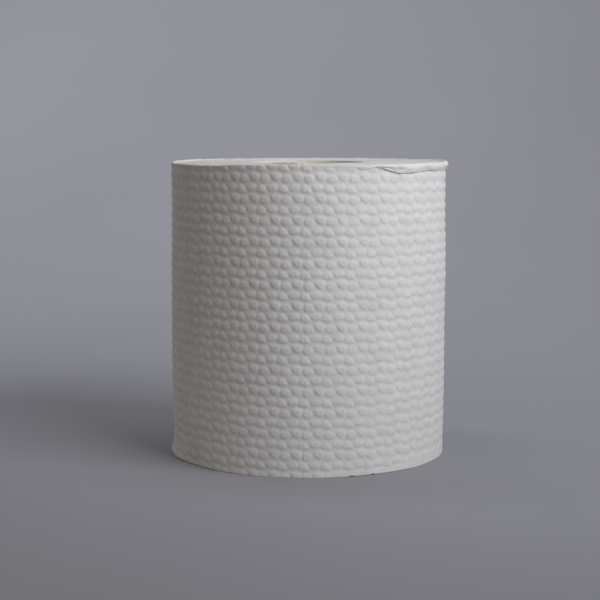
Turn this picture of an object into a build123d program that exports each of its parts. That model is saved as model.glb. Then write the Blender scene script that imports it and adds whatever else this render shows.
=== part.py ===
from build123d import *
import os
from math import cos, radians, sin

# A standing toilet paper roll: embossed paper wound on a paperboard tube.
# Z runs up the core's axis, the bottom end lies on Z = 0 and the side with the
# perforation faces -Y. Lengths are in millimetres and angles in degrees.

# Roll and core
ROLL_HEIGHT = 105.0
ROLL_RADIUS = 49.35
CORE_BORE_RADIUS = 20.0
CORE_WALL = 0.6
SEAT_RADIUS = CORE_BORE_RADIUS + CORE_WALL

# Emboss of the outer turn: rows of pillows with a valley round each
PILLOW_ROWS = 29
PILLOW_COLUMNS = 82
PILLOW_RISE = 0.42
ROW_PITCH = ROLL_HEIGHT / PILLOW_ROWS
COLUMN_ANGLE = 360.0 / PILLOW_COLUMNS
VALLEY_RADIUS = ROLL_RADIUS - PILLOW_RISE
CROWN_SIDE_STEP = 0.145
CROWN_UP_STEP = 0.075

# One sheet reaches from one perforation to the next, and the last one ends at the tail
SHEET_COLUMNS = 28
FRONT_COLUMN = 0
FRONT_ANGLE = -1.9
TAIL_COLUMN = PILLOW_COLUMNS - SHEET_COLUMNS
PERFORATED_COLUMNS = (FRONT_COLUMN, SHEET_COLUMNS)
PERFORATION_DEPTH = 0.15
TAIL_STEP = 0.35

# The cut rims are pushed out where the roll was knocked
TOP_LIP_COLUMNS = (5, 9, 22, 25)
TOP_LIP_FLARE = 0.9
FOOT_LIP_COLUMNS = (58, 62, 67, 70)
FOOT_LIP_FLARE = 0.7
DENTED_PILLOW = (3, 24)
DENT_DEPTH = 0.12

# A line of the winding shows on both ends, from the outer turns in to the core
WINDING_TURNS = 2.75
WINDING_STEPS_PER_TURN = 36
WINDING_OUTER_RADIUS = 46.2
WINDING_INNER_RADIUS = 23.6
WINDING_HALF_WIDTH = 0.45
WINDING_DEPTH = 0.5


def polar_point(radius, angle, height):
    """A point at a radius from the axis. Angle 0 faces -Y and grows towards +X."""
    return Vector(radius * sin(radians(angle)), -radius * cos(radians(angle)), height)


def column_angle(column):
    """Direction of a line between two columns of pillows."""
    return FRONT_ANGLE + column * COLUMN_ANGLE


def swell(column, columns):
    """0 outside a stretch of columns, 1 along its middle, with a straight ramp at each end."""
    start, full, fading, end = columns
    if column <= start or column >= end:
        return 0.0
    return min(1.0, (column - start) / (full - start), (end - column) / (end - fading))


def valley_radius(column, after_tail=True):
    """Radius of the valley floor. The outer turn steps down by one sheet at its tail."""
    turned = (column - TAIL_COLUMN) % PILLOW_COLUMNS
    if column % PILLOW_COLUMNS == TAIL_COLUMN and not after_tail:
        turned = PILLOW_COLUMNS
    radius = VALLEY_RADIUS - TAIL_STEP * turned / PILLOW_COLUMNS
    if column % PILLOW_COLUMNS in PERFORATED_COLUMNS:
        radius -= PERFORATION_DEPTH
    return radius


def valley_point(column, row, after_tail=True):
    """Corner where four pillows meet, pushed out at the rims by the two lips."""
    radius = valley_radius(column, after_tail)
    if row == PILLOW_ROWS:
        radius += TOP_LIP_FLARE * swell(column % PILLOW_COLUMNS, TOP_LIP_COLUMNS)
    if row == 0:
        radius += FOOT_LIP_FLARE * swell(column % PILLOW_COLUMNS, FOOT_LIP_COLUMNS)
    return polar_point(radius, column_angle(column), row * ROW_PITCH)


def crown_point(column, row):
    """Top of a pillow. Crowns lean right and left by rows, and up and down by columns."""
    middle = column + 0.5
    radius = valley_radius(middle) + PILLOW_RISE
    if row == PILLOW_ROWS - 1:
        pressed = swell(middle, TOP_LIP_COLUMNS)
        radius += pressed * (0.5 * TOP_LIP_FLARE - PILLOW_RISE)
    if row == 0:
        pressed = swell(middle, FOOT_LIP_COLUMNS)
        radius += pressed * (0.5 * FOOT_LIP_FLARE - PILLOW_RISE)
    if (column, row) == DENTED_PILLOW:
        radius -= PILLOW_RISE + DENT_DEPTH
    across = CROWN_SIDE_STEP if row % 2 else -CROWN_SIDE_STEP
    up = CROWN_UP_STEP if column % 2 else -CROWN_UP_STEP
    return polar_point(radius, column_angle(middle + across), (row + 0.5 + up) * ROW_PITCH)


def triangle(first, second, third):
    """Flat face on three points."""
    return Face(Wire.make_polygon([first, second, third], close=True))


def pillow(column, row):
    """Four flat sides that rise from the valleys round a pillow to its crown."""
    ends_at_tail = (column + 1) % PILLOW_COLUMNS == TAIL_COLUMN
    corners = [
        valley_point(column, row),
        valley_point(column + 1, row, not ends_at_tail),
        valley_point(column + 1, row + 1, not ends_at_tail),
        valley_point(column, row + 1),
    ]
    crown = crown_point(column, row)
    return [triangle(corners[side - 1], corners[side], crown) for side in range(4)]


def tail_edge():
    """The cut edge of the last sheet: a narrow upright face, one sheet deep."""
    upper_side = [valley_point(TAIL_COLUMN, row) for row in range(PILLOW_ROWS + 1)]
    lower_side = [valley_point(TAIL_COLUMN, row, False) for row in range(PILLOW_ROWS + 1)]
    return Face(Wire.make_polygon(upper_side + lower_side[::-1], close=True))


def rim(row):
    """Outline of an end face: every valley corner of the rim, with the step at the tail."""
    points = []
    for column in range(PILLOW_COLUMNS):
        if column == TAIL_COLUMN:
            points.append(valley_point(column, row, False))
        points.append(valley_point(column, row))
    return Wire.make_polygon(points, close=True)


def winding_line(height, inward):
    """Groove between two turns, a spiral of flat V strips that dies out at both ends.

    Returns the groove's faces and its outline in the end face.
    """
    steps = round(WINDING_TURNS * WINDING_STEPS_PER_TURN)
    fall = (WINDING_OUTER_RADIUS - WINDING_INNER_RADIUS) / steps
    start_angle = column_angle(TAIL_COLUMN)
    outer_edge, bottom, inner_edge = [], [], []
    for step in range(steps + 1):
        radius = WINDING_OUTER_RADIUS - step * fall
        angle = start_angle + step * 360.0 / WINDING_STEPS_PER_TURN
        open_here = 0.0 if step in (0, steps) else 1.0
        half_width = open_here * WINDING_HALF_WIDTH
        outer_edge.append(polar_point(radius + half_width, angle, height))
        inner_edge.append(polar_point(radius - half_width, angle, height))
        bottom.append(polar_point(radius, angle, height + inward * open_here * WINDING_DEPTH))
    faces = []
    for edge in (outer_edge, inner_edge):
        for step in range(steps):
            if step < steps - 1:
                faces.append(triangle(edge[step], edge[step + 1], bottom[step + 1]))
            if step > 0:
                faces.append(triangle(edge[step], bottom[step + 1], bottom[step]))
    outline = Wire.make_polygon(outer_edge + inner_edge[-2:0:-1], close=True)
    return faces, outline


def end_face(row, inward):
    """Flat cut end of the roll with its winding line, open at the core's seat."""
    height = row * ROW_PITCH
    groove, outline = winding_line(height, inward)
    seat = Wire.make_circle(SEAT_RADIUS, Plane.XY.offset(height))
    return [Face(rim(row), [seat, outline])] + groove


def core_seat():
    """Wall of the hole that the core fills."""
    plug = Solid.make_cylinder(SEAT_RADIUS, ROLL_HEIGHT)
    return plug.faces().filter_by(GeomType.CYLINDER)[0]


def make_paper_roll():
    """All the turns as one solid, closed from its skin, two ends and seat."""
    faces = [tail_edge(), core_seat()]
    for row in range(PILLOW_ROWS):
        for column in range(PILLOW_COLUMNS):
            faces += pillow(column, row)
    faces += end_face(0, 1)
    faces += end_face(PILLOW_ROWS, -1)
    return Solid(Shell(faces))


def make_core_tube():
    """Paperboard tube, cut flush with the paper at both ends."""
    section = Circle(SEAT_RADIUS) - Circle(CORE_BORE_RADIUS)
    return extrude(section, amount=ROLL_HEIGHT)


os.makedirs("parts", exist_ok=True)
export_step(make_paper_roll(), "parts/paper_roll.step", write_pcurves=False)
export_step(make_core_tube(), "parts/core_tube.step")
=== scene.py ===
"""Visual model of a standing toilet paper roll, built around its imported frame.

Lengths of the roll are millimetres until a mesh is made, and angles are degrees. An angle of 0
faces the camera along -Y and grows towards +X. The web is the paper's own flat surface: across
runs round the roll and up runs along its axis. Lamps, floor and camera are in metres.
"""

import logging
from dataclasses import dataclass
from enum import Enum
from math import cos, pi, radians, sin
from typing import NamedTuple

import bpy
import numpy as np
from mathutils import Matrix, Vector


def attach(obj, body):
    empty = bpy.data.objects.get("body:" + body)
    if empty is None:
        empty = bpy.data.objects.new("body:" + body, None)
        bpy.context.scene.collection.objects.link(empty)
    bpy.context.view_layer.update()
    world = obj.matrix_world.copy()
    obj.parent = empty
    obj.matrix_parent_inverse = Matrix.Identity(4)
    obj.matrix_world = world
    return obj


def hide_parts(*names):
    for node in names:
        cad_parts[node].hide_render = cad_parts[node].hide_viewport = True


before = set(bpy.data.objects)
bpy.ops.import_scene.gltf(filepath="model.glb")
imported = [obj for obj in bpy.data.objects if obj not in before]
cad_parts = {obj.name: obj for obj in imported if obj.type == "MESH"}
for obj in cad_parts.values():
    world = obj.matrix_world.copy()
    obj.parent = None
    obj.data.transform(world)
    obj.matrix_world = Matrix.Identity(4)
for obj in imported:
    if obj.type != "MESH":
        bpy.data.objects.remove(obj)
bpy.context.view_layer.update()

Colour = tuple[float, float, float]
Place = tuple[float, float, float]
Socket = bpy.types.NodeSocket

LOG = logging.getLogger("toilet_paper_roll")
MM = 0.001
ROLL_HEIGHT = 105.0
# Radius of the emboss's valleys at the free edge, and the radius at which distances across are measured.
VALLEY_RADIUS = 49.18
WEB_RADIUS = 49.32
SHEET_LENGTH = 105.9
SHEET_THICKNESS = 0.35
FREE_EDGE_ANGLE = -124.8
# Units of the web's map in a millimetre, and the angle past which an edge is shaded sharp.
MAP_SCALE = 0.01
SHARP_ANGLE = 62.0


class End(Enum):
    """The two cut ends of the roll."""

    TOP = 1
    FOOT = -1


class RimValue(Enum):
    """What a knot of the upper rim holds, after its angle."""

    TOP = 1
    LIP = 2
    STEP = 3
    FLARE = 4


class Rise(NamedTuple):
    """A soft step: 0 at its start and before, 1 at its end and after."""

    start: float | np.ndarray
    end: float | np.ndarray

    def at(self, values: np.ndarray) -> np.ndarray:
        """3t^2 - 2t^3, where t is the share of the step that a value has passed."""
        share = np.clip((values - self.start) / (self.end - self.start), 0.0, 1.0)
        return share * share * (3.0 - 2.0 * share)


class Hump(NamedTuple):
    """A bell curve: 1 at its centre, and down to about a third at its width on either side."""

    centre: float
    width: float

    def at(self, values: np.ndarray) -> np.ndarray:
        """exp(-(distance from the centre / width)^2)."""
        return np.exp(-(((values - self.centre) / self.width) ** 2))


class Stretch(NamedTuple):
    """A stretch of angles or heights: 1 from full to fading, 0 before start and after end."""

    start: float
    full: float
    fading: float
    end: float

    def at(self, values: np.ndarray) -> np.ndarray:
        """The rise from start to full, less what has gone between fading and end."""
        return Rise(self.start, self.full).at(values) * (1.0 - Rise(self.fading, self.end).at(values))


@dataclass(frozen=True)
class Roughness:
    """Seeded smooth noise: random values on a square lattice, joined by smooth curves."""

    seed: int
    size: int = 64

    def values(self) -> np.ndarray:
        """Random lattice values from -1 to 1."""
        return np.random.default_rng(self.seed).uniform(-1.0, 1.0, (self.size, self.size))

    def at(self, across: np.ndarray, up: np.ndarray, turns: int = 0) -> np.ndarray:
        """Noise at lattice coordinates.

        The four lattice values round each point are mixed by 3t^2 - 2t^3 of its place between them.

        Args:
            across: First lattice coordinate.
            up: Second lattice coordinate.
            turns: Lattice steps after which the noise repeats across, or 0 for the lattice's own size.

        Returns:
            Values from -1 to 1.
        """
        across, up = np.broadcast_arrays(across, up)
        table, period = self.values(), turns or self.size
        column, row = np.floor(across).astype(int), np.floor(up).astype(int)
        side, rise = across - column, up - row
        side, rise = side * side * (3 - 2 * side), rise * rise * (3 - 2 * rise)
        left, right = column % period % self.size, (column + 1) % period % self.size
        low, high = row % self.size, (row + 1) % self.size
        below = table[left, low] * (1 - side) + table[right, low] * side
        above = table[left, high] * (1 - side) + table[right, high] * side
        return below * (1 - rise) + above * rise


SWAYS = Roughness(3)
CREASES = Roughness(5)
RIM_WEAR = Roughness(8)


class Ripple(NamedTuple):
    """A layer of noise with a depth in millimetres.

    Across and up are the lengths of one lattice step. Start is the layer's place on the lattice,
    slant moves it across as it goes up, and turns is the number of steps in which it closes.
    """

    noise: Roughness
    depth: float
    across: float
    up: float
    start: tuple[float, float] = (0.0, 0.0)
    slant: float = 0.0
    turns: int = 0

    def at(self, across: np.ndarray, up: np.ndarray | float, shift: float = 0.0) -> np.ndarray:
        """Depth times the noise at across and up, each divided by its step.

        Args:
            across: Places the first way.
            up: Places the second way.
            shift: Lattice steps by which the layer is moved across.

        Returns:
            Heights in millimetres.
        """
        column = across / self.across + self.slant * up + self.start[0] + shift
        return self.depth * self.noise.at(column, up / self.up + self.start[1], self.turns)


def ring_point(radius: np.ndarray, angle: np.ndarray, up: np.ndarray) -> np.ndarray:
    """Points from radius, angle and height.

    x = radius sin(angle), y = -radius cos(angle), z = height.

    Args:
        radius: Distances from the roll's axis.
        angle: Angles in degrees.
        up: Heights.

    Returns:
        One point for each place in the arrays.
    """
    turn = np.radians(angle)
    x, y, z = np.broadcast_arrays(radius * np.sin(turn), -radius * np.cos(turn), up)
    return np.stack([x, y, z], axis=-1)


def add_mesh(
    name: str, points: np.ndarray, quads: np.ndarray, caps: list[np.ndarray], uv: np.ndarray
) -> bpy.types.Object:
    """Mesh object from arrays, smooth shaded, at the origin.

    Args:
        name: Name of the piece.
        points: One row per vertex, in millimetres.
        quads: One row of four vertex numbers per face.
        caps: Vertex numbers of further faces with many corners.
        uv: One row per vertex, its place on the web in millimetres.

    Returns:
        The new object, linked to the scene.
    """
    sizes = np.concatenate([np.full(len(quads), 4), [len(cap) for cap in caps]]).astype(np.int32)
    corners = np.concatenate([quads.ravel(), *caps]).astype(np.int32)
    mesh = bpy.data.meshes.new(name)
    mesh.vertices.add(len(points))
    mesh.vertices.foreach_set("co", (points * MM).astype(np.float32).ravel())
    mesh.loops.add(len(corners))
    mesh.loops.foreach_set("vertex_index", corners)
    mesh.polygons.add(len(sizes))
    mesh.polygons.foreach_set("loop_start", (np.cumsum(sizes) - sizes).astype(np.int32))
    mesh.update(calc_edges=True)
    mesh.validate()
    layer = mesh.uv_layers.new(name="web")
    layer.uv.foreach_set("vector", (uv[corners] * MAP_SCALE).astype(np.float32).ravel())
    mesh.polygons.foreach_set("use_smooth", np.ones(len(sizes), dtype=bool))
    mesh.set_sharp_from_angle(angle=radians(SHARP_ANGLE))
    thing = bpy.data.objects.new(name, mesh)
    bpy.context.scene.collection.objects.link(thing)
    return thing


def grid_quads(columns: int, rows: int, round_again: bool) -> np.ndarray:
    """Faces of a grid whose rows close on themselves.

    Args:
        columns: Number of sections.
        rows: Points in each section, a closed loop.
        round_again: True where the last section joins the first.

    Returns:
        Four vertex numbers per face, turned so that the faces point outwards.
    """
    first = np.arange(columns if round_again else columns - 1)[:, None] * rows
    after = (first + rows) % (columns * rows)
    low, high = np.arange(rows)[None, :], (np.arange(rows)[None, :] + 1) % rows
    return np.stack([first + low, after + low, after + high, first + high], axis=-1).reshape(-1, 4)


class Pillow(NamedTuple):
    """One raised shape in a cell of the emboss, a pillow or the low saddle that joins two of them.

    Its place in the cell, its half length and half height, its turn in degrees, its lean, which is
    how much its half height grows towards one end, and its rise.
    """

    across: float
    up: float
    half_length: float
    half_height: float
    turn: float
    lean: float
    rise: float


class Pull(NamedTuple):
    """How far the web is pulled along where it goes through a rise, and how much more at the top."""

    rise: Rise
    amount: float
    more_above: float


@dataclass(frozen=True)
class Emboss:
    """Emboss pattern: rows of pillows, four to a cell, on a slightly turned lattice.

    The pattern starts at start_across and start_up. Skew turns its columns. Its rows drop to the
    right by row_drop, sag to both sides by row_sag and spread by end_spread at the roll's ends.
    """

    cell_length: float = 7.55
    cell_height: float = 7.172
    start_across: float = 0.36
    start_up: float = 54.0
    half_height: float = 50.0
    skew: float = 0.0085
    row_drop: float = 0.0057
    row_sag: float = 0.0074
    sag_round: float = 12.0
    row_shift: float = 0.09
    end_spread: float = 0.22
    gain: float = 0.8
    squareness: float = 2.23
    steepness: float = 7.0
    end_limit: float = 1.2
    far: float = 40.0
    place_varies: float = 0.09
    rise_varies: float = 0.13
    pulls: tuple[Pull, ...] = (
        Pull(Rise(5.0, 55.0), 0.65, 0.0),
        Pull(Rise(38.0, 72.0), 1.54, 0.0),
        Pull(Rise(-12.0, -50.0), 0.61, 0.5),
        Pull(Rise(-36.0, -66.0), 1.2, 1.33),
    )
    pillows: tuple[Pillow, ...] = (
        Pillow(3.09, 4.55, 1.62, 1.20, -17.0, 0.30, 0.36),
        Pillow(6.99, 3.85, 1.58, 1.20, 0.0, -0.15, 0.32),
        Pillow(1.92, 0.85, 1.62, 1.05, 10.0, 0.10, 0.33),
        Pillow(5.98, 0.20, 1.66, 1.05, -22.0, -0.40, 0.32),
        Pillow(5.04, 4.25, 0.80, 1.00, 0.0, 0.0, 0.07),
        Pillow(3.95, 0.50, 0.80, 0.90, 0.0, 0.0, 0.07),
    )
    uneven: Roughness = Roughness(11)
    lattice_step: float = 2.0
    kind_step: tuple[float, float] = (17.0, 5.0)
    shift_start: float = 31.0

    def web_place(self, across: np.ndarray, up: np.ndarray) -> tuple[np.ndarray, np.ndarray]:
        """Place in the pattern of a point on the roll.

        The paper was wound a little turned, so the rows drop to the right. It is stretched round
        both sides, on the left more towards the top, and the rows spread a little at both ends.

        Args:
            across: Distances round the roll.
            up: Heights.

        Returns:
            Distances along the pattern's rows and over its first row.
        """
        over = up - self.start_up
        height = over / self.half_height
        amounts = [pull.amount + pull.more_above * height for pull in self.pulls]
        stretch = sum(amount * pull.rise.at(across) for amount, pull in zip(amounts, self.pulls))
        along = across - stretch - self.start_across - self.skew * over
        sag = self.row_sag * np.sqrt(across * across + self.sag_round**2)
        drop = self.row_drop * across + sag + self.row_shift
        return along, over + drop + self.end_spread * height * height

    def height(self, across: np.ndarray, up: np.ndarray) -> np.ndarray:
        """Height of the emboss over its valleys.

        Each pillow adds rise * exp(-ln2 * d^steepness), where d^squareness is the sum of that
        power of the distances along and across the pillow, over its half length and half height.
        Every pillow's place and rise differ a little from the next one's, by noise that is read at
        lattice points kept apart for each kind of pillow.

        Args:
            across: Distances round the roll.
            up: Heights.

        Returns:
            Heights over the valleys.
        """
        along, over = self.web_place(across, up)
        total = np.zeros(np.broadcast(along, over).shape)
        for kind, shape in enumerate(self.pillows):
            column = np.floor((along - shape.across) / self.cell_length + 0.5)
            row = np.floor((over - shape.up) / self.cell_height + 0.5)
            lattice_across = column * self.lattice_step + kind * self.kind_step[0]
            lattice_up = row * self.lattice_step + kind * self.kind_step[1]
            shift = self.uneven.at(lattice_across + self.shift_start, lattice_up) * self.place_varies
            side = along - shape.across - column * self.cell_length - shift
            rise = over - shape.up - row * self.cell_height
            level, steep = cos(radians(shape.turn)), sin(radians(shape.turn))
            length = (side * level + rise * steep) / shape.half_length
            depth = (rise * level - side * steep) / shape.half_height
            depth = depth / (1.0 + shape.lean * np.clip(length, -self.end_limit, self.end_limit))
            reach = np.abs(length) ** self.squareness + np.abs(depth) ** self.squareness
            reach = np.minimum(reach ** (self.steepness / self.squareness), self.far)
            height = shape.rise * (1.0 + self.rise_varies * self.uneven.at(lattice_across, lattice_up))
            total = total + height * np.exp(-np.log(2.0) * reach)
        return total * self.gain


class RimKnot(NamedTuple):
    """Upper rim at one angle: its cut edge, and the smooth lip's lower edge, step and flare."""

    angle: float
    top: float
    lip: float
    step: float
    flare: float


class FootKnot(NamedTuple):
    """Lower edge of the outer sheet at one angle: how far it is lifted off the floor."""

    angle: float
    lift: float


class Wrinkle(NamedTuple):
    """A fine crease in the upper rim: the angles it runs through, its cross-section and its depth."""

    angles: Stretch
    section: Hump
    depth: float


@dataclass(frozen=True)
class RollBody:
    """Form of the outer turn: its radius, its cut rims, and where they were knocked out of round."""

    emboss: Emboss = Emboss()
    ripples: tuple[Ripple, ...] = (
        Ripple(SWAYS, 0.1, 19.0, 26.0, (20.0, 0.0)),
        Ripple(SWAYS, 0.035, 6.0, 5.0, (7.0, 9.0)),
        Ripple(CREASES, 0.008, 0.9, 1.1),
        Ripple(CREASES, 0.006, 0.5, 0.6),
    )
    # The pillows are pressed flat in one dent, in a band at the foot, and near the cut edge.
    dent: tuple[Hump, Hump] = (Hump(13.25, 1.9), Hump(87.1, 1.5))
    dent_press: float = 0.75
    dent_depth: float = 0.1
    band_angles: Stretch = Stretch(5.0, 10.0, 110.0, 130.0)
    band_height: float = 1.8
    band_growth: tuple[float, Rise] = (1.7, Rise(27.0, 62.0))
    band_edge: Rise = Rise(-0.6, 0.5)
    band_press: float = 0.85
    band_rise: float = 0.2
    cut_fade: Rise = Rise(104.9, 105.25)
    lower_press: tuple[float, Rise] = (0.12, Rise(10.0, 60.0))
    # The foot is knocked outwards at the left, with a hollow above.
    foot_knock: Stretch = Stretch(-107.0, -90.0, -68.0, -52.0)
    foot_flare: tuple[float, Rise] = (0.72, Rise(0.6, 4.5))
    foot_hollow: tuple[float, Hump] = (0.35, Hump(8.0, 3.5))
    # The left side bellies out in its middle and leans in at its top, and the right side bellies out.
    left_side: Hump = Hump(-90.0, 40.0)
    left_belly: tuple[float, Hump] = (0.25, Hump(40.0, 25.0))
    left_lean: tuple[float, Rise] = (0.3, Rise(60.0, 90.0))
    right_side: Hump = Hump(90.0, 32.0)
    right_belly: tuple[float, Stretch] = (0.32, Stretch(6.0, 24.0, 72.0, 92.0))
    right_swell: tuple[float, Hump] = (0.15, Hump(66.0, 9.0))
    rim: tuple[RimKnot, ...] = (
        RimKnot(-180.0, 104.95, 104.4, 0.0, 0.0),
        RimKnot(-110.0, 104.95, 104.3, 0.0, 0.0),
        RimKnot(-85.0, 104.65, 104.1, 0.0, 0.0),
        RimKnot(-44.0, 104.5, 104.0, 0.0, 0.0),
        RimKnot(-31.0, 104.95, 104.3, 0.0, 0.0),
        RimKnot(-18.5, 105.1, 104.4, 0.0, 0.0),
        RimKnot(-14.0, 105.85, 104.4, 0.0, 0.0),
        RimKnot(-9.5, 106.0, 104.4, 0.0, 0.0),
        RimKnot(-5.3, 105.9, 104.4, 0.0, 0.0),
        RimKnot(-4.9, 104.85, 104.4, 0.0, 0.0),
        RimKnot(-2.6, 106.0, 104.4, 0.0, 0.0),
        RimKnot(-2.1, 104.8, 104.5, 0.08, 0.05),
        RimKnot(6.0, 104.8, 104.5, 0.14, 0.05),
        RimKnot(14.0, 104.75, 104.45, 0.14, 0.05),
        RimKnot(18.0, 104.8, 104.2, 0.14, 0.05),
        RimKnot(20.5, 104.8, 103.5, 0.16, 0.05),
        RimKnot(25.0, 104.8, 104.25, 0.18, 0.05),
        RimKnot(27.5, 104.8, 104.25, 0.2, 0.08),
        RimKnot(33.3, 104.85, 102.85, 0.3, 0.1),
        RimKnot(36.5, 104.85, 102.1, 0.32, 0.12),
        RimKnot(40.0, 104.85, 102.05, 0.32, 0.12),
        RimKnot(48.0, 104.9, 102.3, 0.3, 0.12),
        RimKnot(55.3, 104.9, 102.85, 0.28, 0.15),
        RimKnot(58.2, 104.9, 102.45, 0.28, 0.15),
        RimKnot(71.0, 105.0, 102.5, 0.28, 0.3),
        RimKnot(82.0, 105.3, 102.5, 0.28, 0.7),
        RimKnot(97.0, 105.5, 102.7, 0.25, 0.85),
        RimKnot(108.0, 105.3, 103.6, 0.15, 0.3),
        RimKnot(121.0, 105.0, 104.4, 0.0, 0.0),
        RimKnot(180.0, 104.95, 104.4, 0.0, 0.0),
    )
    lip_softness: float = 1.6
    lip_gap: float = 0.2
    lip_lean: float = 0.45
    lean_step: Rise = Rise(0.12, 0.3)
    lean_flare: Rise = Rise(0.3, 0.6)
    bulge_power: float = 1.3
    edge_round: float = 0.2
    edge_power: int = 14
    lip_ripples: tuple[Ripple, ...] = (
        Ripple(RIM_WEAR, 0.14, 3.1, 0.5),
        Ripple(RIM_WEAR, 0.08, 1.1, 0.25, (0.0, 9.0)),
        Ripple(CREASES, 0.16, 5.0, 1.0 / 2.6, (40.0, 3.0), -1.3),
    )
    rim_wrinkles: tuple[Wrinkle, ...] = (
        Wrinkle(Stretch(-16.0, -14.0, -5.6, -5.2), Hump(105.5, 0.14), 0.22),
        Wrinkle(Stretch(-16.0, -14.0, -5.6, -5.2), Hump(104.95, 0.14), 0.12),
        Wrinkle(Stretch(36.0, 40.0, 53.0, 57.0), Hump(103.2, 0.15), 0.06),
        Wrinkle(Stretch(60.0, 63.0, 68.0, 71.0), Hump(104.2, 0.25), 0.16),
    )
    top_wear: Ripple = Ripple(RIM_WEAR, 0.06, 4.0, 1.0, (0.0, 2.0))
    cut_below: float = 0.8
    cut_level: float = 0.15
    cut_share: float = 0.6
    plain_step: Rise = Rise(0.05, 0.2)
    foot: tuple[FootKnot, ...] = (
        FootKnot(-105.0, 0.08),
        FootKnot(-85.0, 0.28),
        FootKnot(-45.0, 0.24),
        FootKnot(-32.0, 0.12),
        FootKnot(-20.0, 0.09),
        FootKnot(-5.0, 0.09),
        FootKnot(5.0, 0.1),
        FootKnot(15.0, 0.12),
        FootKnot(16.5, 0.24),
        FootKnot(34.0, 0.24),
        FootKnot(40.0, 0.14),
        FootKnot(68.0, 0.12),
        FootKnot(85.0, 0.08),
    )
    foot_notches: tuple[Hump, Hump] = (Hump(18.0, 0.8), Hump(27.0, 0.8))
    notch_height: float = 0.3
    foot_wear: Ripple = Ripple(RIM_WEAR, 0.04, 3.0, 1.0, (0.0, 4.0))

    def rim_at(self, angle: np.ndarray, value: RimValue) -> np.ndarray:
        """One of the rim's values, joined by straight lines between its knots.

        Along the lip's lower edge the corners are softened: it is a quarter, a half and a quarter
        of the values a little before, at, and a little after the angle.

        Args:
            angle: Angles in degrees.
            value: Which of the knots' values is read.

        Returns:
            The value at each angle.
        """
        knots = np.array(self.rim)
        around = (angle + 180.0) % 360.0 - 180.0
        spread = self.lip_softness if value is RimValue.LIP else 0.0
        shifted = [around - spread, around, around + spread]
        before, here, after = (np.interp(place, knots[:, 0], knots[:, value.value]) for place in shifted)
        return 0.25 * before + 0.5 * here + 0.25 * after

    def valley(self, angle: np.ndarray) -> np.ndarray:
        """Radius of the valleys. It falls by one sheet from the free edge once round the roll."""
        return VALLEY_RADIUS - SHEET_THICKNESS * (angle - FREE_EDGE_ANGLE) / 360.0

    def pressed_relief(self, across: np.ndarray, up: np.ndarray) -> np.ndarray:
        """The emboss where it isn't pressed flat.

        The emboss, times what the dent, the smooth band at the foot, the cut edge and the lower
        part leave of it, plus the band's own rise and less the dent's depth.

        Args:
            across: Distances round the roll.
            up: Heights.

        Returns:
            Heights over the valleys.
        """
        angle = np.degrees(across / WEB_RADIUS)
        dent = self.dent[0].at(across) * self.dent[1].at(up)
        growth, growing = self.band_growth
        band_height = self.band_height + growth * growing.at(angle)
        band = self.band_angles.at(angle) * (1.0 - self.band_edge.at(up - band_height))
        relief = self.emboss.height(across, up) * (1.0 - self.dent_press * dent)
        relief = relief * (1.0 - self.band_press * band) + self.band_rise * band
        press, lower = self.lower_press
        relief = relief * (1.0 - self.cut_fade.at(up)) * (1.0 - press * (1.0 - lower.at(up)))
        return relief - self.dent_depth * dent

    def knocks(self, angle: np.ndarray, up: np.ndarray) -> np.ndarray:
        """How far the roll is out of round: the flared foot, its hollow, and the two sides' bellies.

        Args:
            angle: Angles in degrees.
            up: Heights.

        Returns:
            Lengths to add to the radius.
        """
        flare, flare_fade = self.foot_flare
        hollow, hollow_place = self.foot_hollow
        foot = flare * (1.0 - flare_fade.at(up)) - hollow * hollow_place.at(up)
        belly, belly_place = self.left_belly
        lean, leaning = self.left_lean
        left = belly * belly_place.at(up) - lean * leaning.at(up)
        long_belly, long_place = self.right_belly
        swell, swell_place = self.right_swell
        right = long_belly * long_place.at(up) + swell * swell_place.at(up)
        sides = left * self.left_side.at(angle) + right * self.right_side.at(angle)
        return foot * self.foot_knock.at(angle) + sides

    def side_radius(self, across: np.ndarray, up: np.ndarray) -> np.ndarray:
        """Radius of the embossed side: valley, relief, knocks, and the sum of the ripples.

        Args:
            across: Distances round the roll.
            up: Heights.

        Returns:
            Distances from the roll's axis.
        """
        angle = np.degrees(across / WEB_RADIUS)
        ripples = sum(ripple.at(across, up) for ripple in self.ripples)
        return self.valley(angle) + self.pressed_relief(across, up) + self.knocks(angle, up) + ripples

    def foot_height(self, angle: np.ndarray) -> np.ndarray:
        """Height of the outer sheet's lower edge.

        The knots' lift, joined by straight lines, plus two small notches and a little wear.

        Args:
            angle: Angles in degrees.

        Returns:
            Heights over the floor.
        """
        knots = np.array(self.foot)
        notches = sum(notch.at(angle) for notch in self.foot_notches)
        lift = np.interp(angle, knots[:, 0], knots[:, 1])
        return lift + self.notch_height * notches + self.foot_wear.at(angle, 0.0)

    def top_height(self, angle: np.ndarray) -> np.ndarray:
        """Height of the outer sheet's upper edge.

        The knots' height and a little wear, and where there is no smooth lip a rise at each
        pillow that the edge cuts, which is a share of the emboss just below the edge.

        Args:
            angle: Angles in degrees.

        Returns:
            Heights over the floor.
        """
        knots = self.rim_at(angle, RimValue.TOP)
        cut = self.emboss.height(np.radians(angle) * WEB_RADIUS, knots - self.cut_below) - self.cut_level
        plain = self.plain_step.at(self.rim_at(angle, RimValue.STEP))
        return knots + self.top_wear.at(angle, 0.0) + self.cut_share * cut * (1.0 - plain)

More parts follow.
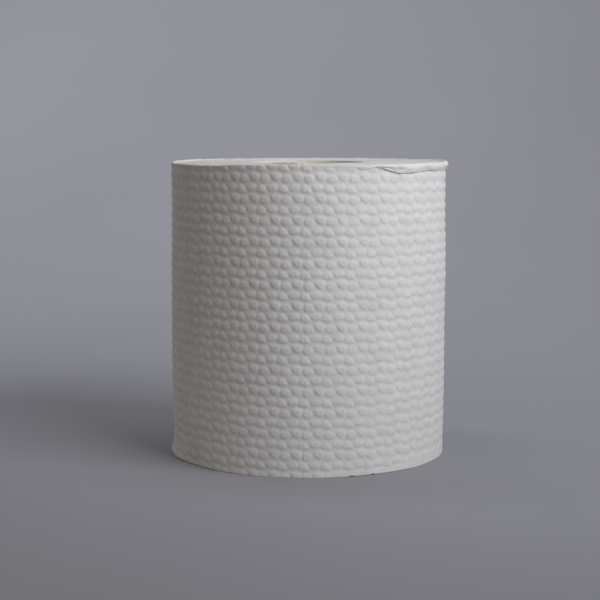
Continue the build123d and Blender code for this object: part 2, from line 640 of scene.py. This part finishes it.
    def lip_radius(self, angle: np.ndarray, climb: np.ndarray) -> np.ndarray:
        """Radius of the smooth lip.

        The lip stands out by its step, leans out as it climbs, bulges by
        flare * sin(pi * climb^bulge_power) and rounds over at the top by edge_round *
        climb^edge_power. It is crumpled, and soft folds run slanting through it.

        Args:
            angle: Angles in degrees.
            climb: Places on the lip, from 0 at its lower edge to 1 at the cut edge.

        Returns:
            Distances from the roll's axis.
        """
        step, flare = self.rim_at(angle, RimValue.STEP), self.rim_at(angle, RimValue.FLARE)
        lean = self.lip_lean * climb * self.lean_step.at(step) * (1.0 - self.lean_flare.at(flare))
        bulge = step + lean + flare * np.sin(pi * climb**self.bulge_power)
        bulge = bulge - self.edge_round * climb**self.edge_power
        crumple = sum(ripple.at(angle, climb) for ripple in self.lip_ripples)
        return self.valley(angle) + self.lip_gap + bulge + crumple

    def wrinkles(self, angle: np.ndarray, up: np.ndarray) -> np.ndarray:
        """Depth of the fine creases in the rim: two under the raised edge, two in the lip."""
        return sum(line.depth * line.angles.at(angle) * line.section.at(up) for line in self.rim_wrinkles)


class Section(NamedTuple):
    """A strip of a sheet's surface: web places and radii, with one row for each section."""

    across: np.ndarray
    up: np.ndarray
    radius: np.ndarray


@dataclass
class OuterSheet:
    """One sheet of the outer turn, from one perforation to the next, with its two cut rims.

    Start and length are distances across the web at half the roll's height. The perforated edges
    slant. Rows and columns are closer together beside the edges.
    """

    name: str
    start: float
    length: float
    body: RollBody
    torn_start: bool = True
    torn_end: bool = True
    columns: int = 284
    side_rows: int = 276
    lip_rows: int = 15
    face_rows: int = 13
    edge_columns: tuple[float, ...] = (0.1, 0.2, 0.32, 0.5)
    edge_rows: tuple[float, ...] = (0.0004, 0.0012, 0.0024, 0.9988, 0.9996)
    inner_radius: float = 47.75
    slant: float = 0.0129
    groove: Hump = Hump(0.0, 0.28)
    groove_depth: float = 0.042
    groove_varies: Ripple = Ripple(RIM_WEAR, 0.025, 9.0, 1.0, (0.0, 21.0))
    tab_pitch: float = 2.3
    tab: Rise = Rise(0.55, 0.85)
    tab_hold: float = 0.7
    # The side runs up behind the lip by lap, and is drawn in there by undercut times the step.
    lap: float = 0.12
    undercut: float = 0.12
    undercut_rise: tuple[float, float] = (-0.3, 0.1)
    least_step: float = 0.05
    lip_drop: float = 0.15
    lip_drop_step: float = 0.5
    smooth_step: Rise = Rise(0.04, 0.25)
    edge_round: float = 0.12
    edge_climb: Rise = Rise(0.8, 1.0)
    edge_kept: float = 0.7
    # The top face starts over the edge, falls inwards, and shows the lines of a few turns.
    first_inward: float = 0.04
    second_inward: float = 0.1
    face_lift: float = 0.06
    face_fall: float = 0.16
    face_wear: Ripple = Ripple(RIM_WEAR, 0.06, 1.7, 0.2, (9.0, 0.0))
    turn_lines: int = 3
    turn_line_depth: float = 0.05
    raised_wall: Rise = Rise(0.12, 0.4)
    foot_gap: float = 0.02

    def across(self, share: np.ndarray, up: np.ndarray) -> np.ndarray:
        """Distance round the roll: the sheet's start plus its share of the length, on a slanted edge."""
        return self.start + share * self.length + self.slant * (up - 0.5 * ROLL_HEIGHT)

    def angle(self, share: np.ndarray) -> np.ndarray:
        """Angle of each section at half the roll's height, in a column."""
        return np.degrees((self.start + share * self.length) / WEB_RADIUS)[:, None]

    def inward(self) -> np.ndarray:
        """Shares of the way in over a cut rim, in a row, from just inside its edge to the turns below."""
        return np.append(self.first_inward, np.linspace(self.second_inward, 1.0, self.face_rows))[None, :]

    def perforation(self, share: np.ndarray, up: np.ndarray) -> np.ndarray:
        """Depth of the groove at each perforated edge.

        A bell curve of the distance to the edge, shallower at the small tabs that still hold.

        Args:
            share: Shares of the sheet's length.
            up: Heights.

        Returns:
            Depths to take off the radius.
        """
        tabs = self.tab.at(np.cos(2.0 * pi * up / self.tab_pitch))
        depth = (self.groove_depth + self.groove_varies.at(up, 0.0)) * (1.0 - self.tab_hold * tabs)
        start = self.groove.at(share * self.length) * self.torn_start
        end = self.groove.at((1.0 - share) * self.length) * self.torn_end
        return depth * (start + end)

    def side(self, share: np.ndarray) -> Section:
        """Embossed side, from the lifted foot to just behind the lip's lower edge.

        Args:
            share: Share of the sheet's length at each section.

        Returns:
            The strip, foot to top.
        """
        angle = self.angle(share)
        foot, edge = self.body.foot_height(angle), self.body.rim_at(angle, RimValue.LIP)
        step = self.body.rim_at(angle, RimValue.STEP)
        row = np.unique(np.append(np.linspace(0.0, 1.0, self.side_rows), self.edge_rows))
        up = foot + (edge + self.lap - foot) * row[None, :]
        across = self.across(share[:, None], up)
        radius = self.body.side_radius(across, up) - self.perforation(share[:, None], up)
        before, after = self.undercut_rise
        tuck = self.undercut * step * Rise(edge + before, edge + after).at(up) * (step > self.least_step)
        return Section(across, up, radius - tuck)

    def lip(self, share: np.ndarray) -> Section:
        """Smooth lip, which starts a little down over the side and goes up to the cut edge.

        Where the rim has no step, the lip is the embossed side going on.

        Args:
            share: Share of the sheet's length at each section.

        Returns:
            The strip, foot to top.
        """
        angle = self.angle(share)
        edge, top = self.body.rim_at(angle, RimValue.LIP), self.body.top_height(angle)
        step = self.body.rim_at(angle, RimValue.STEP)
        climb = np.linspace(0.0, 1.0, self.lip_rows)[None, :]
        up = edge - self.lip_drop * np.minimum(step, self.lip_drop_step) + (top - edge) * climb
        across = self.across(share[:, None], up)
        smooth = self.smooth_step.at(step)
        rough = self.body.side_radius(across, up)
        radius = rough * (1.0 - smooth) + self.body.lip_radius(angle, climb) * smooth
        radius = radius - self.perforation(share[:, None], up) - self.body.wrinkles(angle, up)
        rounding = self.edge_round * self.edge_climb.at(climb) * (1.0 - self.edge_kept * smooth)
        return Section(across, up, radius - rounding)

    def top_face(self, lip: Section) -> Section:
        """Cut upper rim, from the lip's edge in to the turns below.

        It falls with the square of the way in, worn a little and with a cosine for the lines of
        its turns. A raised edge is a thin wall, behind which the face is back at the roll's height.

        Args:
            lip: The strip whose last row is the edge.

        Returns:
            The strip, from the edge inwards.
        """
        inward, edge = self.inward(), lip.up[:, -1:]
        radius = lip.radius[:, -1:] + (self.inner_radius - lip.radius[:, -1:]) * inward
        wear = self.face_wear.at(np.degrees(lip.across[:, -1:] / WEB_RADIUS), inward)
        lines = self.turn_line_depth * (1.0 - np.cos(2.0 * pi * self.turn_lines * inward))
        raised = np.maximum(edge - ROLL_HEIGHT, 0.0) * self.raised_wall.at(inward)
        up = edge - raised + self.face_lift - self.face_fall * inward**2 + wear - lines
        return Section(np.repeat(lip.across[:, -1:], inward.size, axis=1), up, radius)

    def foot_face(self, side: Section) -> Section:
        """Cut lower rim, from the turns inside out to the side's lifted edge.

        It rises with the square of the way out.

        Args:
            side: The strip whose first row is the edge.

        Returns:
            The strip, from the inside outwards.
        """
        outward = self.inward()[:, ::-1]
        radius = side.radius[:, :1] + (self.inner_radius - side.radius[:, :1]) * outward
        up = np.maximum(side.up[:, :1] * (1.0 - outward) ** 2, 0.0) + self.foot_gap
        return Section(np.repeat(side.across[:, :1], outward.size, axis=1), up, radius)

    def build(self) -> bpy.types.Object:
        """Closed sheet block: the outer wall, a rim at each end and a plain inner wall.

        Returns:
            The sheet's mesh object.
        """
        near = np.array(self.edge_columns) / self.length
        share = np.unique(np.concatenate([np.linspace(0.0, 1.0, self.columns), near, 1.0 - near]))
        side, lip = self.side(share), self.lip(share)
        strips = zip(side, lip, self.top_face(lip), self.foot_face(side))
        across, up, radius = (np.concatenate(parts, axis=1) for parts in strips)
        points = ring_point(radius, np.degrees(across / WEB_RADIUS), up).reshape(-1, 3)
        uv = np.stack([across, up], axis=-1).reshape(-1, 2)
        rows = up.shape[1]
        last = (len(share) - 1) * rows
        caps = [np.arange(rows), last + np.arange(rows)[::-1]]
        return add_mesh(self.name, points, grid_quads(len(share), rows, False), caps, uv)

    def make(self, finish: "Tissue") -> bpy.types.Object:
        """The finished sheet, on the roll's body.

        Args:
            finish: What it is made of.

        Returns:
            The piece.
        """
        piece = self.build()
        piece.data.materials.append(finish.material())
        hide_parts("paper_roll")
        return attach(piece, "root")


@dataclass
class WoundPaper:
    """All the turns under the outer one: a thick ring whose cut ends show the winding.

    The bands are turns that stand higher or lower than their neighbours. At the top and foot
    alike the ring is a gap short of the roll's own ends.
    """

    outer_radius: float = 47.7
    inner_radius: float = 20.66
    columns: int = 360
    top_rows: int = 150
    foot_rows: int = 90
    top_gap: float = 0.12
    foot_gap: float = 0.2
    bands: tuple[Ripple, ...] = (
        Ripple(Roughness(21), 0.045, 20.0, 0.55, turns=18),
        Ripple(Roughness(21), 0.06, 40.0, 1.6, (0.0, 11.0), turns=9),
        Ripple(Roughness(22), 0.12, 60.0, 6.0, (0.0, 5.0), turns=6),
    )
    foot_shift: float = 31.0
    dip_depth: float = 0.13
    dip_change: float = 0.12
    dip_width: float = 1.2
    sunk_angle: float = -72.0
    sunk_side: Rise = Rise(0.2, 0.9)
    sunk_turns: Rise = Rise(41.0, 47.7)
    sunk_depth: float = 0.3

    def end_height(self, radius: np.ndarray, angle: np.ndarray, end: End) -> np.ndarray:
        """How far an end face stands out of its plane.

        Bands of turns fade in and out round the roll and follow the winding's spiral, one sheet
        per turn. The face dips beside the core, most at the back, and sinks towards the outer turn
        at the left.

        Args:
            radius: Distances from the roll's axis.
            angle: Angles in degrees.
            end: Which of the two ends it is.

        Returns:
            Heights over the plane, outwards.
        """
        turn = radius - SHEET_THICKNESS * angle / 360.0
        shift = 0.0 if end is End.TOP else self.foot_shift
        uneven = sum(band.at(angle, turn, shift) for band in self.bands)
        dip = self.dip_depth - self.dip_change * np.cos(np.radians(angle))
        dip = dip * Hump(self.inner_radius, self.dip_width).at(radius)
        side = self.sunk_side.at(np.cos(np.radians(angle - self.sunk_angle)))
        return uneven - dip - self.sunk_depth * side * self.sunk_turns.at(radius)

    def build(self) -> bpy.types.Object:
        """Closed ring: outer wall up, top face inwards, inner wall down and bottom face outwards.

        Returns:
            The ring's mesh object.
        """
        angle = (np.arange(self.columns) * 360.0 / self.columns)[:, None]
        top_radius = np.linspace(self.outer_radius, self.inner_radius, self.top_rows)[None, :]
        foot_radius = np.linspace(self.inner_radius, self.outer_radius, self.foot_rows)[None, :]
        top = ROLL_HEIGHT - self.top_gap + self.end_height(top_radius, angle, End.TOP)
        foot = self.foot_gap - self.end_height(foot_radius, angle, End.FOOT)
        up = np.concatenate([top, foot], axis=1)
        radius = np.broadcast_to(np.concatenate([top_radius, foot_radius], axis=1), up.shape)
        points = ring_point(radius, angle, up).reshape(-1, 3)
        uv = np.stack([radius, np.radians(angle) * radius], axis=-1).reshape(-1, 2)
        return add_mesh("wound_paper", points, grid_quads(self.columns, up.shape[1], True), [], uv)

    def make(self, finish: "CutEnds") -> bpy.types.Object:
        """The finished ring, on the roll's body.

        Args:
            finish: What it is made of.

        Returns:
            The piece.
        """
        piece = self.build()
        piece.data.materials.append(finish.material())
        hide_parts("paper_roll")
        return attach(piece, "root")


@dataclass
class CoreTube:
    """Paperboard tube wound from a strip, whose spiral seam shows as a fine groove in its bore."""

    outer_radius: float = 20.58
    inner_radius: float = 20.0
    columns: int = 180
    rows: int = 90
    bevel: float = 0.1
    recess: float = 0.3
    foot_gap: float = 0.15
    seam: Hump = Hump(0.8, 0.7)
    seam_columns: tuple[float, float] = (0.6, 1.4)
    seam_depth: float = 0.1
    seam_turns: float = 0.85
    rim_wear: Ripple = Ripple(Roughness(31), 0.07, 6.0, 1.0 / 3.0, turns=60)
    rim_power: int = 40
    bore_sway: Ripple = Ripple(Roughness(31), 0.03, 30.0, 1.0 / 6.0, turns=12)

    def build(self) -> bpy.types.Object:
        """Closed tube whose columns follow the seam.

        A column's angle grows by seam_turns of a turn on the way up. The section goes up the
        outside, over the bevelled rim, down the bore and under the lower rim. The rims are worn, by
        noise times the rim_power of the distance from the middle of the height.

        Returns:
            The tube's mesh object.
        """
        angle = np.linspace(0.0, 360.0, self.columns, endpoint=False)
        angle = np.unique(np.append(angle, self.seam_columns))[:, None]
        seam = self.seam_depth * self.seam.at((angle + 180.0) % 360.0 - 180.0)
        rise = np.linspace(0.0, 1.0, self.rows)
        climb = np.concatenate([rise, [1.0, 1.0], rise[::-1], [0.0, 0.0]])[None, :]
        wall = np.repeat([self.outer_radius, self.inner_radius], self.rows).reshape(2, -1)
        rim = np.array([self.outer_radius - self.bevel, self.inner_radius + self.bevel])
        radius = np.concatenate([wall[0], rim, wall[1], rim[::-1]])[None, :]
        bore = radius < 0.5 * (self.outer_radius + self.inner_radius)
        turned = angle + 360.0 * self.seam_turns * climb
        wear = self.rim_wear.at(turned, radius) * (2.0 * climb - 1.0) ** self.rim_power
        up = climb * (ROLL_HEIGHT - self.recess - self.foot_gap) + self.foot_gap + wear
        radius = radius + bore * (seam + self.bore_sway.at(turned, climb))
        points = ring_point(radius, turned, up).reshape(-1, 3)
        uv = np.stack([np.radians(turned) * radius, up], axis=-1).reshape(-1, 2)
        return add_mesh("core_board_tube", points, grid_quads(len(angle), up.shape[1], True), [], uv)

    def make(self, finish: "KraftBoard") -> bpy.types.Object:
        """The finished tube, in place of the frame's plain one.

        Args:
            finish: What it is made of.

        Returns:
            The piece.
        """
        piece = self.build()
        piece.data.materials.append(finish.material())
        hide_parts("core_tube")
        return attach(piece, "root")


class Surface:
    """A new material's node tree, with short calls for adding nodes and joining them."""

    def __init__(self, name: str) -> None:
        """Starts an empty material with a principled surface.

        Args:
            name: Name of the material.
        """
        self.material = bpy.data.materials.new(name)
        self.material.use_nodes = True
        self.nodes = self.material.node_tree.nodes
        self.nodes.clear()
        self.shader = self.add("ShaderNodeBsdfPrincipled")
        output = self.add("ShaderNodeOutputMaterial")
        self.join(self.shader.outputs["BSDF"], output.inputs["Surface"])

    def add(self, kind: str, **settings: object) -> bpy.types.Node:
        """New node.

        Args:
            kind: Blender's name for its type.
            **settings: Its options and their values.

        Returns:
            The node.
        """
        node = self.nodes.new(kind)
        for option, value in settings.items():
            setattr(node, option, value)
        return node

    def join(self, source: Socket, target: Socket) -> None:
        """Links an output to an input."""
        self.material.node_tree.links.new(source, target)

    def set(self, **values: object) -> None:
        """Sets the principled surface's own sockets. An underscore in a name stands for a space."""
        for name, value in values.items():
            self.shader.inputs[name.replace("_", " ")].default_value = value

    def web(self) -> Socket:
        """Place on the piece's own map."""
        return self.add("ShaderNodeUVMap", uv_map="web").outputs["UV"]

    def place(self) -> Socket:
        """Place in the piece's own coordinates, in metres."""
        return self.add("ShaderNodeTexCoord").outputs["Object"]

    def noise(self, place: Socket, scale: float, detail: float, rough: float) -> Socket:
        """Noise from 0 to 1 at a place.

        Args:
            place: Where it is read.
            scale: Its steps per unit of the place.
            detail: Number of finer layers.
            rough: How strong each finer layer is.

        Returns:
            The noise's value.
        """
        node = self.add("ShaderNodeTexNoise")
        node.inputs["Scale"].default_value = scale
        node.inputs["Detail"].default_value = detail
        node.inputs["Roughness"].default_value = rough
        self.join(place, node.inputs["Vector"])
        return node.outputs["Fac"]

    def scaled(self, place: Socket, scale: tuple[float, float, float]) -> Socket:
        """A place stretched along each axis.

        Args:
            place: The place.
            scale: Its factor along each axis.

        Returns:
            The stretched place.
        """
        node = self.add("ShaderNodeMapping")
        node.inputs["Scale"].default_value = scale
        self.join(place, node.inputs["Vector"])
        return node.outputs["Vector"]

    def sum(self, first: Socket, second: Socket, share: float) -> Socket:
        """First plus second times share.

        Args:
            first: Added whole.
            second: Added in part.
            share: That part.

        Returns:
            The sum.
        """
        node = self.add("ShaderNodeMath", operation="MULTIPLY_ADD")
        self.join(second, node.inputs[0])
        node.inputs[1].default_value = share
        self.join(first, node.inputs[2])
        return node.outputs[0]

    def blend(self, amount: Socket, low: float, high: float, dark: Colour, pale: Colour) -> None:
        """Base colour from dark to pale.

        Args:
            amount: What the colour follows.
            low: Amount at which it is dark.
            high: Amount at which it is pale.
            dark: The dark colour.
            pale: The pale colour.
        """
        ramp = self.add("ShaderNodeValToRGB")
        ends = ramp.color_ramp.elements
        ends[0].position, ends[0].color = low, (*dark, 1.0)
        ends[1].position, ends[1].color = high, (*pale, 1.0)
        self.join(amount, ramp.inputs["Fac"])
        self.join(ramp.outputs["Color"], self.shader.inputs["Base Color"])

    def bump(self, height: Socket, depth: float) -> None:
        """Fine relief on the surface.

        Args:
            height: Its height, about 0 to 1.
            depth: Millimetres that a height of 1 stands for.
        """
        node = self.add("ShaderNodeBump")
        node.inputs["Distance"].default_value = depth * MM
        self.join(height, node.inputs["Height"])
        self.join(node.outputs["Normal"], self.shader.inputs["Normal"])


@dataclass(frozen=True)
class Tissue:
    """Soft white crepe tissue: matt, with fine upright crepe lines and loose fibres."""

    dark: Colour = (0.715, 0.705, 0.690)
    pale: Colour = (0.775, 0.768, 0.755)
    crepe: tuple[float, float, float] = (210.0, 100.0, 1.0)
    fibre_share: float = 0.6
    relief: float = 0.055

    def material(self) -> bpy.types.Material:
        """Crepe lines from noise on the web's own map, fibres from a fine noise, clouds from a slow one.

        Returns:
            The material.
        """
        made = Surface("embossed_tissue")
        web, place = made.web(), made.place()
        crepe = made.noise(made.scaled(web, self.crepe), scale=1.0, detail=4.0, rough=0.6)
        fibres = made.noise(place, scale=3200.0, detail=4.0, rough=0.65)
        cloud = made.noise(place, scale=160.0, detail=3.0, rough=0.6)
        made.blend(cloud, low=0.3, high=0.7, dark=self.dark, pale=self.pale)
        made.bump(made.sum(crepe, fibres, self.fibre_share), self.relief)
        made.set(Roughness=0.95, Specular_IOR_Level=0.2, Sheen_Weight=0.12, Sheen_Roughness=0.5)
        made.set(Subsurface_Weight=0.12, Subsurface_Radius=(1.0, 0.95, 0.9), Subsurface_Scale=0.0006)
        return made.material


@dataclass(frozen=True)
class CutEnds:
    """Cut edges of the wound turns: fine spiral lines and short fibres."""

    dark: Colour = (0.73, 0.72, 0.705)
    pale: Colour = (0.85, 0.845, 0.835)
    turn_pitch: float = 0.3
    line_sway: float = 9.0
    line_colour: float = 0.05
    line_share: float = 0.35
    band_share: float = 1.0
    relief: float = 0.12

    def spiral(self, made: Surface, place: Socket) -> Socket:
        """Spiral lines.

        The sine of the radius in pitches, as turns, plus the angle round the roll, plus noise that
        makes the lines sway.

        Args:
            made: The material's surface.
            place: Place on the piece.

        Returns:
            Values from -1 to 1.
        """
        parts = made.add("ShaderNodeSeparateXYZ")
        made.join(place, parts.inputs[0])
        angle = made.add("ShaderNodeMath", operation="ARCTAN2")
        made.join(parts.outputs["X"], angle.inputs[0])
        made.join(parts.outputs["Y"], angle.inputs[1])
        flat = made.add("ShaderNodeVectorMath", operation="MULTIPLY")
        made.join(place, flat.inputs[0])
        flat.inputs[1].default_value = (1.0, 1.0, 0.0)
        radius = made.add("ShaderNodeVectorMath", operation="LENGTH")
        made.join(flat.outputs["Vector"], radius.inputs[0])
        phase = made.add("ShaderNodeMath", operation="MULTIPLY")
        phase.inputs[1].default_value = 2.0 * pi / (self.turn_pitch * MM)
        made.join(radius.outputs["Value"], phase.inputs[0])
        waves = made.noise(place, scale=120.0, detail=3.0, rough=0.6)
        turned = made.sum(made.sum(phase.outputs[0], angle.outputs[0], 1.0), waves, self.line_sway)
        line = made.add("ShaderNodeMath", operation="SINE")
        made.join(turned, line.inputs[0])
        return line.outputs[0]

    def material(self) -> bpy.types.Material:
        """Spiral lines over bands of turns, with the short fibres of the cut.

        Returns:
            The material.
        """
        made = Surface("cut_paper_ends")
        place = made.place()
        line = self.spiral(made, place)
        fibres = made.noise(place, scale=1500.0, detail=4.0, rough=0.65)
        bands = made.noise(place, scale=420.0, detail=3.0, rough=0.6)
        shade = made.sum(bands, line, self.line_colour)
        made.blend(shade, low=0.25, high=0.7, dark=self.dark, pale=self.pale)
        made.bump(made.sum(made.sum(fibres, line, self.line_share), bands, self.band_share), self.relief)
        made.set(Roughness=0.95, Specular_IOR_Level=0.2, Sheen_Weight=0.12, Sheen_Roughness=0.5)
        return made.material


@dataclass(frozen=True)
class KraftBoard:
    """Grey-brown recycled board with flecks of fibre."""

    dark: Colour = (0.71, 0.66, 0.60)
    pale: Colour = (0.83, 0.785, 0.725)
    fibre: tuple[float, float, float] = (60.0, 190.0, 1.0)
    fleck_colour: float = 0.35
    fleck_share: float = 0.5
    relief: float = 0.05

    def material(self) -> bpy.types.Material:
        """Fibres from a long noise on the board's own map and flecks from a fine one.

        Returns:
            The material.
        """
        made = Surface("grey_brown_board")
        web, place = made.web(), made.place()
        fibres = made.noise(made.scaled(web, self.fibre), scale=1.0, detail=5.0, rough=0.7)
        flecks = made.noise(place, scale=900.0, detail=3.0, rough=0.6)
        shade = made.sum(fibres, flecks, self.fleck_colour)
        made.blend(shade, low=0.45, high=0.95, dark=self.dark, pale=self.pale)
        made.bump(made.sum(fibres, flecks, self.fleck_share), self.relief)
        made.set(Roughness=0.85, Specular_IOR_Level=0.3)
        return made.material


@dataclass(frozen=True)
class Paint:
    """Plain matt studio paper with a very faint cloud in it."""

    colour: Colour = (0.325, 0.326, 0.360)
    wander: float = 0.03

    def material(self) -> bpy.types.Material:
        """Base colour that wanders by its share either way.

        Returns:
            The material.
        """
        made = Surface("studio_paper")
        cloud = made.noise(made.place(), scale=3.0, detail=2.0, rough=0.5)
        dark = tuple((1.0 - self.wander) * part for part in self.colour)
        pale = tuple((1.0 + self.wander) * part for part in self.colour)
        made.blend(cloud, low=0.3, high=0.7, dark=dark, pale=pale)
        made.set(Roughness=0.9, Specular_IOR_Level=0.2)
        return made.material


@dataclass(frozen=True)
class Lamp:
    """A soft square light, in metres and watts.

    Side and climb are its direction as seen from the point that it is about. It is turned towards
    its aim.
    """

    name: str
    side: float
    climb: float
    distance: float
    size: float
    power: float
    colour: Colour
    about: Place = (0.0, 0.0, 0.05)
    aim: Place = (0.0, 0.0, 0.05)

    def make(self) -> bpy.types.Object:
        """Area light that the camera doesn't see.

        Returns:
            The lamp's object.
        """
        centre, target = Vector(self.about), Vector(self.aim)
        out, over = self.distance * cos(radians(self.climb)), self.distance * sin(radians(self.climb))
        place = centre + Vector((out * sin(radians(self.side)), -out * cos(radians(self.side)), over))
        light = bpy.data.lights.new(self.name, "AREA")
        light.shape, light.size, light.energy, light.color = "SQUARE", self.size, self.power, self.colour
        thing = bpy.data.objects.new(self.name, light)
        thing.location = place
        thing.rotation_euler = (target - place).to_track_quat("-Z", "Y").to_euler()
        thing.visible_camera = False
        bpy.context.scene.collection.objects.link(thing)
        return thing


WALL_MIDDLE: Place = (0.0, 1.6, 0.55)


@dataclass
class Studio:
    """Pale seamless floor and backdrop, soft light from the right, and the camera."""

    half_width: float = 3.0
    front: float = -2.0
    back: float = 1.6
    bend: float = 1.25
    bend_points: int = 49
    wall: float = 2.4
    lens: float = 92.2
    sensor_width: float = 36.0
    eye: Place = (-0.0030, -0.5558, 0.1203)
    pitch: float = 6.738
    sky: Colour = (0.062, 0.062, 0.064)
    lamps: tuple[Lamp, ...] = (
        Lamp("key", 49.0, 36.5, 0.68, 0.5, 5.8, (0.965, 0.98, 1.0), aim=(0.0, 0.0, 0.68)),
        Lamp("warm_fill", -48.0, 24.0, 1.3, 0.8, 1.2, (1.0, 0.79, 0.56)),
        Lamp("left_rim", -112.0, 25.0, 1.2, 0.6, 0.35, (0.84, 0.9, 1.0)),
        Lamp("ceiling", 0.0, 89.0, 1.2, 0.9, 0.42, (1.0, 1.0, 1.0)),
        Lamp("backdrop_wash", -10.0, 25.0, 1.4, 1.2, 12.8, (0.96, 0.97, 1.0), WALL_MIDDLE, WALL_MIDDLE),
    )

    def backdrop(self) -> bpy.types.Object:
        """Floor that curves up into a wall: a profile of floor, quarter circle and wall, along X.

        Returns:
            The backdrop's object.
        """
        bend = np.radians(np.linspace(0.0, 90.0, self.bend_points))
        y = np.concatenate([[self.front], self.back - self.bend + self.bend * np.sin(bend), [self.back]])
        z = np.concatenate([[0.0], self.bend - self.bend * np.cos(bend), [self.wall]])
        sides = np.array([-self.half_width, self.half_width])[:, None]
        points = np.stack(np.broadcast_arrays(sides, y[None, :], z[None, :]), axis=-1).reshape(-1, 3) / MM
        low = np.arange(len(y) - 1)
        quads = np.stack([low, low + len(y), low + len(y) + 1, low + 1], axis=-1)
        sweep = add_mesh("floor_sweep", points, quads, [], points[:, :2])
        sweep.data.materials.append(Paint().material())
        return sweep

    def camera(self) -> bpy.types.Object:
        """Camera a little above the roll, looking slightly down at it.

        Returns:
            The camera's object.
        """
        lens = bpy.data.cameras.new("camera")
        lens.lens, lens.sensor_width = self.lens, self.sensor_width
        thing = bpy.data.objects.new("camera", lens)
        thing.location = self.eye
        thing.rotation_euler = (radians(90.0 - self.pitch), 0.0, 0.0)
        bpy.context.scene.collection.objects.link(thing)
        bpy.context.scene.camera = thing
        return thing

    def light(self) -> None:
        """The lamps, and an even glow from all round."""
        for lamp in self.lamps:
            lamp.make()
        world = bpy.data.worlds.new("room")
        world.use_nodes = True
        world.node_tree.nodes["Background"].inputs["Color"].default_value = (*self.sky, 1.0)
        bpy.context.scene.world = world
        bpy.context.scene.view_settings.view_transform = "Standard"


@dataclass
class PaperRoll:
    """The whole roll: three outer sheets, the turns under them and the core."""

    body: RollBody = RollBody()
    front_start: float = -1.56

    def sheets(self) -> list[OuterSheet]:
        """The outer turn's sheets. The last one's free edge lies on the first one's far end.

        Returns:
            The sheets, from the free edge on.
        """
        free_edge = self.front_start - SHEET_LENGTH
        rear_start = self.front_start + SHEET_LENGTH
        rear_length = free_edge + 2.0 * pi * WEB_RADIUS - rear_start
        return [
            OuterSheet("last_sheet", free_edge, SHEET_LENGTH, self.body, torn_start=False),
            OuterSheet("front_sheet", self.front_start, SHEET_LENGTH, self.body),
            OuterSheet("rear_sheet", rear_start, rear_length, self.body, torn_end=False),
        ]

    def make(self) -> list[bpy.types.Object]:
        """Every piece of the roll.

        Returns:
            The pieces, outermost first.
        """
        tissue = Tissue()
        pieces = [sheet.make(tissue) for sheet in self.sheets()]
        pieces.append(WoundPaper().make(CutEnds()))
        pieces.append(CoreTube().make(KraftBoard()))
        return pieces


def main() -> None:
    """Builds the roll, then the studio round it."""
    logging.basicConfig(level=logging.INFO, format="%(name)s: %(message)s")
    studio = Studio()
    studio.camera()
    for piece in PaperRoll().make():
        LOG.info("%s: %d faces", piece.name, len(piece.data.polygons))
    studio.backdrop()
    studio.light()


if __name__ == "__main__":
    main()
